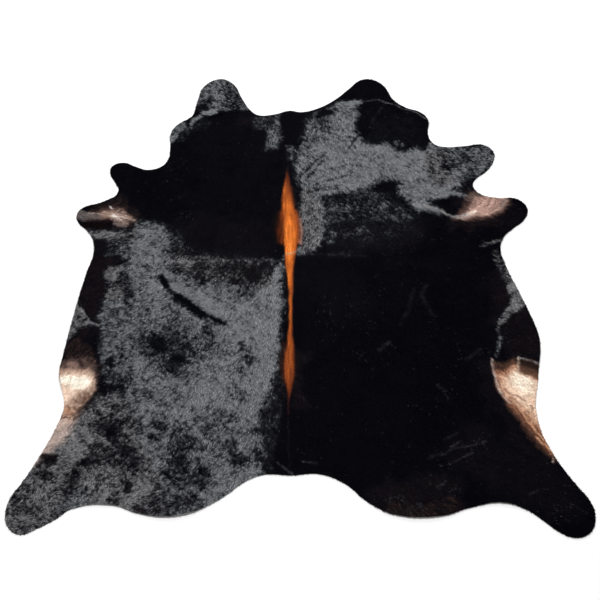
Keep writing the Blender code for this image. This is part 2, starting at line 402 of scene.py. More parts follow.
def stroke(x, y, half_width, line):
    """A soft brush stroke along a line, from 0 beside it to 1 in its middle."""
    return ease(1.5 - way_to_line(x, y, line) / (half_width / 1000))


def strongest_stroke(x, y, marks):
    """The strongest of the strokes in a list at each place."""
    share = np.zeros(len(x))
    for amount, half_width, *line in marks:
        share = np.maximum(share, amount * stroke(x, y, half_width, line))
    return share


def ragged(x, y, size, seed):
    """Places moved a little at random, so that a patch drawn over them has a ragged edge."""
    moved_x = x + (clouds(x, y, BROAD_RAG, seed) - 0.5) * size
    moved_x += (clouds(x, y, FINE_RAG, seed + 1) - 0.5) * size * 0.5
    moved_y = y + (clouds(x, y, BROAD_RAG, seed + 2) - 0.5) * size
    moved_y += (clouds(x, y, FINE_RAG, seed + 3) - 0.5) * size * 0.5
    return moved_x, moved_y


def hair_ramp(share, tones):
    """Hair colours along a row of (share, colour) steps."""
    steps = [step for step, _ in tones]
    colours = np.array([tone for _, tone in tones], float)
    return np.stack([np.interp(share, steps, colours[:, band]) for band in range(3)], 1)


def ground_coat(x, y):
    """The colour of the black hair, browner in places."""
    brown = strongest_stroke(*ragged(x, y, 0.05, 21), BROWNED)
    brown = brown * (0.55 + 0.9 * hair_streaks(x, y, 0.005, 25))
    return hair_ramp(brown, GROUND_TONES)


# ----------------------------------------------------------------------------------------------------
# The painted sheen. Over the left hind quarter and the right fore quarter the nap lies the other way, and the
# light on its glossy black hair is painted into the colour as a mottled blue-grey sheen. Dark spots, grooves
# of painted shade and a ragged edge break it up.

# Greys of the painted sheen, by its share
SHEEN_TONES = (
    (0.00, (8, 9, 14)),
    (0.20, (19, 20, 24)),
    (0.40, (43, 44, 48)),
    (0.60, (79, 81, 85)),
    (0.80, (107, 109, 113)),
    (1.00, (122, 124, 128)),
    (1.30, (132, 134, 138)),
)
WARM_SHIFT = (0.022, -0.008, -0.026)
# How strongly the painted sheen is mottled, by its share
MOTTLE_GAIN = ((0.0, 0.25, 0.60, 0.90, 1.00), (0.0, 1.9, 2.5, 2.3, 1.9))  # by silvery share
CRACK_SIZE = 0.034
CRACK_DEPTH = 0.22

# Places of painted sheen: share of painted sheen, softness of the edge, corners
PAINTED_SHEEN_PLACES = (
    # Left hind quarter
    (0.9, 26,
        (-62, 130), (-68, 0), (-67, -100), (-73, -200), (-81, -300), (-92, -400), (-107, -500),
        (-134, -580), (-154, -660), (-160, -780), (-150, -830), (-130, -900), (-330, -1060), (-550, -1080),
        (-720, -1020), (-800, -860), (-850, -760), (-838, -660), (-810, -610), (-770, -540), (-745, -480),
        (-748, -420), (-745, -340), (-752, -270), (-760, -210), (-776, -150), (-776, -80), (-766, -20),
        (-775, 50), (-760, 90), (-680, 100), (-530, 108), (-490, 40), (-420, -30), (-300, -70), (-200, -60),
        (-140, -10), (-110, 50), (-85, 100),
    ),
    # Left hind leg
    (0.63, 30,
        (-700, -1040), (-700, -800), (-760, -700), (-840, -660), (-930, -760), (-1060, -940),
        (-1060, -1140), (-900, -1140),
    ),
    # Left ribs
    (0.9, 34,
        (-685, 80), (-675, 250), (-668, 320), (-600, 308), (-545, 300), (-515, 240), (-508, 180),
        (-500, 80),
    ),
    (0.5, 50, (-745, 90), (-760, 250), (-660, 270), (-660, 70)),
    (0.34, 45, (-520, 70), (-530, 280), (-470, 240), (-430, 160), (-420, 70)),
    # Left elbow
    (0.7, 24, (-880, 275), (-720, 275), (-680, 280), (-680, 225), (-800, 225), (-880, 240)),
    # Below the cross fold
    (0.44, 20, (-530, 122), (-90, 122), (-100, -20), (-200, -70), (-300, -70), (-450, 0)),
    (0.76, 34, (-500, 60), (-420, 30), (-280, -5), (-190, -10), (-110, 0), (-110, -100), (-450, -100)),
    # Above the cross fold
    (0.2, 40, (-500, 240), (-400, 170), (-150, 130), (-120, 100), (-500, 100)),
    # Left cheek
    (0.56, 12,
        (-460, 935), (-400, 905), (-360, 925), (-320, 935), (-280, 925), (-240, 930), (-200, 950),
        (-260, 1140), (-460, 1140),
    ),
    # Left of the poll
    (0.74, 22,
        (-112, 920), (-92, 920), (-92, 860), (-85, 780), (-92, 710), (-135, 705), (-140, 780), (-142, 830),
        (-115, 850),
    ),
    # Left flank
    (0.74, 14,
        (-930, -20), (-866, -62), (-838, -122), (-800, -185), (-772, -203), (-800, -206), (-842, -215),
        (-868, -270), (-930, -310),
    ),
    # Neck wrinkles
    (0.24, 14, (-200, 895), (-110, 900), (-120, 820), (-200, 820)),
    # Nape
    (0.66, 24, (-55, 720), (20, 735), (20, 655), (-50, 655)),
    # Right fore quarter
    (0.97, 24,
        (-12, 660), (-5, 730), (12, 800), (28, 900), (50, 945), (120, 955), (170, 990), (262, 993),
        (245, 955), (240, 900), (232, 840), (245, 790), (262, 755), (300, 738), (350, 742), (395, 718),
        (410, 692), (450, 702), (485, 728), (500, 705), (525, 715), (550, 760), (570, 740), (600, 620),
        (675, 500), (675, 462), (645, 447), (605, 452), (560, 440), (520, 430), (535, 405), (570, 380),
        (555, 350), (470, 370), (425, 425), (398, 455), (395, 495), (398, 520), (365, 532), (335, 522),
        (305, 508), (270, 498), (200, 476), (105, 455), (98, 420), (103, 320), (90, 220), (78, 180),
        (35, 155), (-16, 150), (2, 240), (4, 320), (-5, 400), (-8, 500), (-12, 580),
    ),
    # Right foreleg
    (0.62, 16, (540, 770), (840, 770), (840, 640), (700, 545), (665, 495), (600, 475), (520, 475)),
    # Right shoulder
    (0.26, 50,
        (90, 470), (200, 485), (310, 520), (420, 500), (450, 420), (480, 370), (420, 310), (250, 300),
        (90, 300),
    ),
    (0.18, 50, (80, 310), (460, 310), (460, 250), (300, 190), (80, 180)),
    # Right neck
    (0.07, 40, (200, 720), (200, 940), (340, 980), (480, 910), (510, 740)),
)

# Strokes that lighten and darken the painted sheen in and around them: change, half-width, line
MOTTLED = (
    # Beside the backbone and the tail
    (0.1, 40, (-110, 50), (-120, -150), (-130, -330), (-160, -520), (-190, -620)),
    (0.2, 30, (-85, -380), (-95, -600), (-130, -800)),
    (0.24, 22, (-150, -830), (-120, -850)),
    (0.16, 30, (-160, -720), (-140, -820)),
    # Left rump
    (-0.28, 20, (-145, -805), (-135, -830)),
    (0.2, 18, (-152, -640), (-150, -660)),
    (-0.12, 22, (-165, -620), (-180, -720), (-165, -820)),
    (-0.4, 15, (-222, -290), (-215, -310)),
    (-0.44, 17, (-190, -340), (-185, -375)),
    (-0.12, 14, (-250, -400), (-220, -410)),
    (-0.2, 28, (-250, -500), (-210, -520)),
    (-0.32, 22, (-275, -610), (-235, -630)),
    (-0.42, 20, (-247, -735), (-245, -765)),
    (-0.42, 20, (-228, -800), (-205, -808)),
    # Hip groove: painted shade along it
    (0.08, 50, (-440, -20), (-350, -100), (-260, -160), (-200, -260)),
    (-0.56, 11.5,
        (-540, 36), (-527, -5), (-500, -38), (-460, -70), (-412, -111), (-371, -146), (-326, -172),
        (-290, -188),
    ),
    (-0.34, 14, (-535, 25), (-520, -10)),
    (-0.6, 21, (-470, -72), (-415, -116), (-380, -145)),
    (-0.4, 17, (-370, -165), (-310, -190)),
    (-0.14, 34, (-520, -70), (-430, -150), (-360, -210)),
    (-0.44, 22, (-355, -225), (-335, -280)),
    (-0.24, 26, (-510, -140), (-490, -160)),
    # Left flank
    (-0.26, 85, (-690, -30), (-670, -160), (-660, -300)),
    (-0.14, 60, (-660, -380), (-600, -500), (-660, -580)),
    (0.2, 28, (-645, -240), (-635, -260)),
    # Left ribs
    (-0.36, 22, (-700, 45), (-665, -15), (-655, -55)),
    (-0.36, 16, (-735, -10), (-715, 5)),
    (-0.3, 18, (-730, 120), (-690, 92)),
    (-0.12, 14, (-750, 70), (-720, 70)),
    (0.22, 22, (-765, 245), (-755, 235)),
    (-0.34, 22, (-755, 100), (-725, 100)),
    (-0.46, 32, (-790, 100), (-775, 0), (-785, -120)),
    (-0.26, 18, (-540, 140), (-520, 170)),
    (-0.2, 20, (-600, 75), (-570, 70)),
    # Along the cross fold and under it
    (0.3, 14, (-470, 122), (-400, 128), (-300, 115)),
    (0.28, 18, (-500, 100), (-430, 100)),
    (-0.2, 22, (-390, 88), (-300, 90), (-200, 75)),
    (-0.3, 20, (-395, 30), (-385, 5)),
    (-0.14, 45, (-280, 30), (-200, 0)),
    (-0.32, 28, (-185, 40), (-130, 75)),
    # Left loin
    (0.26, 28, (-330, -10), (-210, -20)),
    (-0.26, 20, (-240, -48), (-200, -45)),
    (-0.24, 30, (-260, -10), (-220, -20)),
    (-0.3, 13, (-275, -110), (-270, -115)),
    (-0.2, 22, (-430, 5), (-410, -20)),
    (-0.26, 20, (-340, -310), (-290, -330)),
    # Left hip
    (-0.34, 30, (-490, -205), (-440, -220)),
    (-0.24, 18, (-395, -235), (-385, -250)),
    (0.2, 24, (-550, -220), (-550, -240)),
    (-0.28, 24, (-575, -350), (-560, -370)),
    (-0.4, 76, (-545, -270), (-500, -300), (-475, -370)),
    (-0.22, 36, (-530, -290), (-460, -280), (-450, -340)),
    (-0.2, 30, (-550, -270), (-530, -310)),
    (-0.28, 30, (-460, -370), (-465, -415)),
    (-0.26, 34, (-400, -290), (-370, -340)),
    # Left stifle
    (-0.48, 40, (-748, -390), (-725, -470), (-680, -460)),
    (-0.36, 30, (-730, -505), (-660, -510)),
    (-0.42, 16, (-710, -372), (-700, -388)),
    (0.24, 14, (-735, -362), (-728, -372)),
    (-0.2, 55, (-750, -560), (-720, -640), (-670, -620)),
    (0.26, 22, (-635, -610), (-625, -630)),
    (-0.34, 18, (-768, -540), (-755, -560)),
    # Middle of the left hind quarter
    (-0.32, 17, (-575, -508), (-560, -520)),
    (-0.26, 18, (-470, -500), (-455, -535)),
    (-0.26, 16, (-500, -545), (-490, -570)),
    # Left thigh
    (-0.17, 170, (-640, -760), (-450, -800), (-320, -780)),
    (-0.22, 38, (-720, -660), (-640, -665)),
    (-0.26, 34, (-680, -690), (-650, -720), (-620, -750)),
    (-0.36, 46, (-730, -790), (-680, -785), (-610, -800)),
    (-0.26, 22, (-685, -705), (-675, -715)),
    (-0.26, 24, (-590, -830), (-570, -840)),
    (-0.36, 17, (-535, -655), (-500, -662)),
    (-0.36, 17, (-535, -705), (-515, -710)),
    (-0.3, 16, (-590, -630), (-580, -690)),
    (-0.34, 36, (-430, -700), (-425, -790)),
    (-0.3, 22, (-375, -730), (-365, -750)),
    (-0.28, 22, (-305, -640), (-295, -660)),
    (-0.22, 22, (-365, -630), (-340, -680), (-325, -700)),
    (-0.1, 50, (-700, -900), (-660, -870)),
    # Left hock, leg and foot
    (-0.34, 26, (-785, -830), (-800, -860), (-825, -930)),
    (0.24, 26, (-800, -980), (-780, -1000)),
    (-0.3, 18, (-762, -815), (-756, -825)),
    (0.2, 20, (-790, -770), (-780, -785)),
    (0.14, 34, (-850, -700), (-840, -800), (-835, -840)),
    (-0.5, 21, (-920, -800), (-890, -805)),
    (-0.28, 18, (-915, -870), (-890, -875)),
    (-0.16, 12, (-1005, -975), (-995, -1030), (-965, -1015), (-935, -985)),
    # Left buttock
    (-0.42, 50, (-440, -860), (-360, -885)),
    (-0.32, 24, (-505, -937), (-445, -930)),
    (-0.28, 20, (-645, -920), (-635, -930)),
    (-0.44, 40, (-550, -1010), (-500, -1000), (-380, -990)),
    (-0.6, 13, (-607, -905), (-606, -930)),
    (-0.44, 20, (-660, -960), (-655, -980)),
    (0.18, 30, (-300, -870), (-250, -865)),
    (-0.3, 22, (-235, -825), (-225, -835)),
    # Left cheek
    (0.12, 28, (-350, 950), (-355, 1060)),
    (-0.14, 14, (-298, 960), (-302, 1040)),
    (-0.18, 24, (-265, 940), (-275, 1060)),
    (-0.44, 20, (-455, 930), (-410, 945)),
    (-0.18, 18, (-375, 1050), (-380, 1000)),
    (0.1, 16, (-410, 1060), (-350, 1115)),
    # Left jowl
    (0.78, 19, (-535, 765), (-525, 810), (-500, 850)),
    (0.26, 24, (-500, 770), (-490, 810), (-470, 830)),
    (0.68, 12, (-462, 858), (-440, 885), (-405, 903), (-360, 925)),
    (0.14, 30, (-440, 840), (-400, 860)),
    (-0.7, 5, (-482, 880), (-468, 862), (-470, 840)),
    # Nape
    (-0.32, 40, (20, 740), (50, 820), (70, 930)),
    (-0.16, 80, (140, 940), (190, 860), (160, 780)),
    (-0.34, 28, (50, 945), (140, 935)),
    (-0.46, 18, (85, 905), (125, 918)),
    (-0.32, 20, (102, 865), (105, 815)),
    (0.3, 10, (160, 975), (260, 985)),
    (-0.5, 5, (195, 700), (215, 735), (245, 790)),
    (-0.4, 5, (215, 700), (228, 720)),
    # Right side of the neck
    (-0.42, 6, (0, 555), (45, 620), (85, 665)),
    (-0.42, 6, (30, 555), (65, 600), (100, 650)),
    (-0.22, 30, (30, 660), (25, 580), (30, 500)),
    (-0.32, 6, (60, 515), (130, 540), (200, 565)),
    (-0.28, 6, (130, 600), (200, 625), (250, 620)),
    (-0.26, 5, (200, 660), (260, 675)),
    (-0.4, 14, (70, 490), (110, 495), (150, 500)),
    (-0.22, 24, (85, 655), (95, 645)),
    (-0.2, 24, (340, 585), (345, 575)),
    (0.26, 18, (405, 745), (415, 735)),
    (-0.3, 20, (45, 895), (60, 885)),
    # Right shoulder
    (-0.18, 55, (50, 440), (45, 200)),
    (0.18, 28, (110, 360), (110, 300)),
    (-0.24, 18, (45, 370), (50, 330)),
    (-0.26, 14, (0, 490), (2, 430)),
    (0.12, 14, (120, 465), (220, 475), (310, 500)),
    (0.26, 20, (150, 370), (220, 385)),
    (0.18, 18, (330, 330), (335, 410)),
    (0.26, 18, (120, 215), (130, 250)),
    (0.16, 20, (210, 250), (255, 270)),
    (0.1, 22, (380, 340), (430, 330)),
    (0.14, 16, (120, 145), (220, 150)),
    # Withers
    (-0.26, 36, (345, 510), (380, 510)),
    (-0.12, 30, (400, 450), (380, 420)),
    # Right elbow
    (0.3, 7, (540, 442), (600, 456), (670, 456)),
    (-1.0, 24, (585, 404), (615, 402), (645, 412)),
    # Right foreleg
    (-0.56, 13, (630, 733), (700, 737), (760, 745)),
    (-0.4, 20, (635, 485), (665, 478)),
    (-0.3, 42, (560, 660), (570, 540)),
    (-0.34, 18, (680, 668), (690, 650)),
    (-0.3, 20, (590, 600), (630, 605)),
    (-0.4, 18, (665, 500), (675, 530)),
    (0.06, 22, (620, 520), (660, 585), (740, 630)),
    # Right armpit
    (0.5, 10, (715, 188), (745, 197), (790, 215)),
    (0.24, 14, (770, 160), (765, 120)),
    # Right ribs and flank
    (0.44, 22, (785, 120), (800, 50), (812, 0)),
    (0.86, 26, (824, -20), (838, -60), (836, -100)),
    (0.8, 16, (840, -120), (800, -135), (785, -165), (765, -190)),
    (0.5, 8, (750, -215), (757, -260), (745, -310), (733, -350)),
)

# Where the painted sheen is browner: share, half-width, line
WARMED = (
    (1, 130, (-740, -620), (-680, -800), (-620, -920)),  # left thigh
    (1, 100, (-800, -780), (-920, -920), (-970, -1040)),  # left hind leg
    (1, 70, (-440, 120), (-280, 60), (-160, 30)),  # below the cross fold
    (1, 50, (-740, 70), (-720, -30)),  # left ribs
    (1, 60, (-800, 260), (-700, 270)),  # behind the left elbow
    (1, 40, (-840, -130), (-870, -260)),  # left flank
    (1, 60, (780, 200), (800, 50), (830, -80), (790, -180)),  # right flank
    (1, 50, (560, 660), (580, 560)),  # right foreleg
    (1, 50, (20, 440), (40, 200)),  # shoulder column
)


def add_strokes(share, x, y, marks):
    """The share at each place with all the strokes in a list added."""
    for amount, half_width, *line in marks:
        share = share + amount * stroke(x, y, half_width, line)
    return share


def patch(x, y, softness, corners):
    """A soft patch with these corners, from 0 outside it to 1 inside."""
    closed = corners + corners[:1]
    inside = np.zeros(len(x), bool)
    for (ax, ay), (bx, by) in zip(closed, closed[1:]):
        if ay != by:
            ax, ay, bx, by = ax / 1000, ay / 1000, bx / 1000, by / 1000
            inside ^= ((ay > y) != (by > y)) & (ax + (y - ay) / (by - ay) * (bx - ax) > x)
    way = way_to_line(x, y, closed)
    return ease(0.5 + np.where(inside, way, -way) / (softness / 1000) / 2)


def painted_sheen_share(x, y):
    """How much painted sheen the hair gets, from 0 to 1 and a little over."""
    moved_x, moved_y = ragged(x, y, 0.016, 31)
    share = np.zeros(len(x))
    for amount, softness, *corners in PAINTED_SHEEN_PLACES:
        share = np.maximum(share, amount * patch(moved_x, moved_y, softness, corners))
    share = np.clip(add_strokes(share, *ragged(x, y, 0.010, 41), MOTTLED), 0, 1.08)
    mottle = (
        0.38 * clouds(x, y, 0.0044, 51)
        + 0.10 * hair_streaks(x, y, 0.0035, 52)
        + 0.14 * clouds(x, y, 0.0085, 53)
        + 0.17 * clouds(x + y, (y - x) / 4, 0.0085, 57)
        + 0.13 * clouds(x, y, 0.018, 54)
        + 0.08 * clouds(x, y, 0.042, 55)
    )
    gain = np.interp(share, *MOTTLE_GAIN)
    crazing = clouds(x * 0.8 + y * 0.6, (y * 0.8 - x * 0.6) * 2.2, CRACK_SIZE, 56)
    cracks = ease(1 - np.abs(crazing - 0.5) * 12)
    return np.clip(share + (mottle - 0.5) * gain - cracks * CRACK_DEPTH * share, 0, 1.3)


def painted_sheen_colour(x, y):
    """The painted sheen's blue-grey colour, and how much of it covers the black at each place."""
    share = painted_sheen_share(x, y)
    colour = hair_ramp(share, SHEEN_TONES)
    colour *= 1 + strongest_stroke(x, y, WARMED)[:, None] * np.array(WARM_SHIFT)
    return colour, np.clip(share * 6, 0, 1)


# ----------------------------------------------------------------------------------------------------
# The stripe. Orange hair in a long lens down the backbone, redder and browner at its borders, pinched where
# the hide was folded across, and dying out in a point at both ends.

# Place along, left border, right border, brightness
STRIPE = (
    (610, -52, -50, 0.0),
    (570, -58, -45, 0.26),
    (520, -67, -40, 0.5),
    (450, -73, -32, 0.7),
    (400, -70, -24, 0.8),
    (350, -68, -17, 0.86),
    (300, -66, -10, 0.91),
    (250, -64, -7, 0.95),
    (200, -62, -12, 0.98),
    (150, -60, -19, 0.98),
    (120, -58, -22, 0.8),
    (50, -51, -26, 0.8),
    (-20, -46, -28, 0.76),
    (-100, -44, -29, 0.7),
    (-180, -43, -30, 0.66),
    (-250, -48, -28, 0.62),
    (-310, -54, -23, 0.62),
    (-380, -59, -20, 0.62),
    (-450, -58, -22, 0.56),
    (-500, -50, -29, 0.44),
    (-550, -46, -38, 0.22),
    (-600, -44, -40, 0.0),
)
ORANGE_TONES = (
    (0.00, (14, 9, 12)),
    (0.20, (48, 22, 18)),
    (0.40, (96, 44, 22)),
    (0.60, (142, 70, 32)),
    (0.80, (188, 98, 37)),
    (1.00, (222, 124, 50)),
    (1.20, (238, 152, 78)),
)
STRIPE_EDGE = 0.007

# Reddish hair beside it: colour, strength, half-width, line
STRIPE_SIDES = (
    ((44, 20, 13), 0.7, 17, (-78, 360), (-90, 280), (-78, 220)),  # far left of the front lens
    ((92, 39, 15), 0.84, 13, (-68, 360), (-80, 270), (-72, 210)),  # left of the front lens
    ((128, 54, 20), 0.6, 4.5, (-70, 460), (-73, 360), (-69, 200)),  # left side of the front lens
    ((150, 72, 34), 0.9, 10, (-20, 370), (-10, 300), (-10, 210)),  # right of the front lens
    ((170, 128, 112), 0.85, 6, (-2, 330), (5, 280), (1, 200)),  # right of the front lens, pink
    ((92, 48, 26), 0.6, 6, (-36, 500), (-22, 400)),  # right of the front lens, front
    ((58, 26, 18), 0.6, 11, (-58, -290), (-66, -380), (-58, -470)),  # left of the rear lens
    ((52, 24, 16), 0.55, 7, (-21, -330), (-20, -440)),  # right of the rear lens
    ((52, 24, 26), 0.75, 5, (-42, -520), (-43, -610)),  # rear point
    ((40, 26, 24), 0.5, 6, (-54, 570), (-50, 610)),  # front point
)


def lay_over(colour, tone, share):
    """Lay a colour over the coat's colours, by its share at each place."""
    colour += (np.asarray(tone) - colour) * share[:, None]


def paint_stripe(colour, x, y):
    """Paint the stripe over the coat's colours."""
    along, left, right, bright = np.array(STRIPE[::-1], float).T
    left = np.interp(y, along / 1000, left / 1000)
    right = np.interp(y, along / 1000, right / 1000)
    bright = np.interp(y, along / 1000, bright)
    fibre = (clouds(x, y / 12, 0.0034, 61) + clouds(x, y / 7, 0.0062, 63)) / 2 - 0.5
    moved = x + (clouds(x, y / 3, 0.014, 62) - 0.5) * 0.003 + fibre * 0.007
    for tone, strength, half_width, *line in STRIPE_SIDES:
        share = strength * np.exp(-((way_to_line(moved, y, line) / (half_width / 1000)) ** 2))
        lay_over(colour, tone, np.clip(share * (1 + fibre * 0.9), 0, 1))
    depth = np.minimum(moved - left, right - moved)
    core = depth / ((right - left) / 2)
    tone = bright * (0.80 + 0.24 * ease(core * 2.5)) * (1 + fibre * 0.7)
    tone = tone * (1 - 0.24 * ease((moved - left) / (right - left) * 1.2 - 0.3))
    share = ease(0.5 + depth / STRIPE_EDGE) * ease(bright * 5)
    lay_over(colour, hair_ramp(np.clip(tone, 0, 1.2), ORANGE_TONES), share)


# ----------------------------------------------------------------------------------------------------
# The pale patches. White belly hair at both flanks, cream in the middle and tan, pink or brown where it runs
# into the black, and small pinkish patches inside both elbows, where the hair parts from a white star.

DARK_BROWN = (34, 23, 22)
BLACK_BROWN = (16, 10, 12)
WHITE = (250, 242, 226)

# Painted in this order: colour, share, softness of the edge, corners
PALE = (
    # Left belly: halo, tan, rear end, cream, white and fluff
    ((92, 74, 68), 0.92, 18,
        (-960, -390), (-878, -370), (-850, -358), (-830, -362), (-800, -358), (-770, -360), (-748, -382),
        (-744, -440), (-746, -490), (-760, -535), (-786, -580), (-812, -620), (-960, -640),
    ),
    ((174, 144, 126), 0.95, 14,
        (-960, -418), (-880, -412), (-845, -404), (-815, -408), (-785, -402), (-764, -418), (-756, -450),
        (-757, -495), (-768, -526), (-795, -562), (-820, -600), (-830, -645), (-960, -700),
    ),
    ((190, 169, 159), 0.88, 22,
        (-960, -620), (-860, -620), (-824, -640), (-830, -690), (-852, -735), (-898, -772), (-960, -830),
    ),
    ((224, 199, 180), 0.95, 17,
        (-960, -444), (-885, -438), (-845, -430), (-800, -424), (-775, -430), (-764, -450), (-764, -488),
        (-785, -500), (-815, -508), (-838, -535), (-852, -570), (-872, -592), (-960, -600),
    ),
    (WHITE, 0.92, 12,
        (-960, -450), (-880, -447), (-800, -441), (-776, -448), (-772, -474), (-795, -492), (-835, -500),
        (-850, -482), (-960, -470),
    ),
    ((112, 90, 78), 0.72, 20,
        (-808, -508), (-772, -500), (-764, -525), (-784, -555), (-804, -582), (-820, -566), (-822, -535),
    ),
    # Right belly: halo, brown, tan, peach and cream
    ((66, 45, 38), 0.88, 10,
        (715, -372), (755, -378), (778, -362), (802, -352), (835, -362), (960, -405), (980, -620),
        (980, -890), (922, -824), (896, -801), (872, -779), (847, -741), (820, -694), (797, -644),
        (768, -593), (740, -540), (722, -480), (715, -425),
    ),
    ((144, 98, 76), 0.92, 12,
        (720, -408), (752, -408), (776, -392), (798, -368), (815, -388), (826, -418), (870, -440),
        (960, -452), (980, -620), (980, -840), (905, -786), (876, -752), (850, -714), (825, -664),
        (800, -612), (770, -574), (742, -525), (724, -470),
    ),
    ((198, 160, 135), 0.95, 14,
        (728, -438), (762, -424), (784, -404), (800, -390), (812, -416), (830, -444), (960, -464),
        (980, -710), (890, -706), (865, -676), (844, -640), (822, -600), (792, -566), (758, -538),
        (734, -480),
    ),
    ((224, 196, 174), 0.95, 14,
        (752, -452), (776, -428), (800, -408), (818, -438), (870, -464), (960, -472), (980, -640),
        (882, -640), (858, -620), (838, -585), (802, -548), (772, -522), (752, -482),
    ),
    ((248, 236, 218), 0.64, 16,
        (776, -446), (806, -424), (846, -452), (868, -472), (866, -522), (828, -524), (782, -486),
    ),
    # Left elbow: the whole patch, its middle and the tip
    ((82, 62, 56), 0.8, 18,
        (-835, 374), (-810, 392), (-754, 400), (-712, 388), (-672, 350), (-650, 318), (-690, 290),
        (-732, 284), (-748, 308), (-765, 318), (-835, 322),
    ),
    ((150, 125, 112), 0.8, 13,
        (-812, 366), (-755, 376), (-712, 374), (-686, 348), (-662, 322), (-700, 308), (-735, 314),
        (-762, 328), (-812, 330),
    ),
    ((112, 105, 102), 0.9, 14,
        (-930, 374), (-880, 380), (-848, 370), (-806, 350), (-806, 328), (-930, 318),
    ),
    # Right elbow: halo, the patch itself and its middle
    ((86, 64, 57), 0.85, 12,
        (690, 480), (760, 462), (858, 446), (845, 410), (815, 364), (775, 338), (720, 330), (670, 312),
        (612, 322), (635, 352), (648, 380), (662, 412), (678, 444),
    ),
    ((162, 131, 121), 0.95, 11,
        (712, 458), (840, 450), (836, 424), (812, 384), (778, 356), (738, 345), (706, 348), (680, 332),
        (645, 326), (628, 334), (650, 352), (666, 374), (682, 402), (698, 434),
    ),
    ((186, 152, 140), 0.8, 14,
        (690, 370), (700, 404), (730, 434), (775, 440), (802, 412), (775, 376), (735, 362),
    ),
)

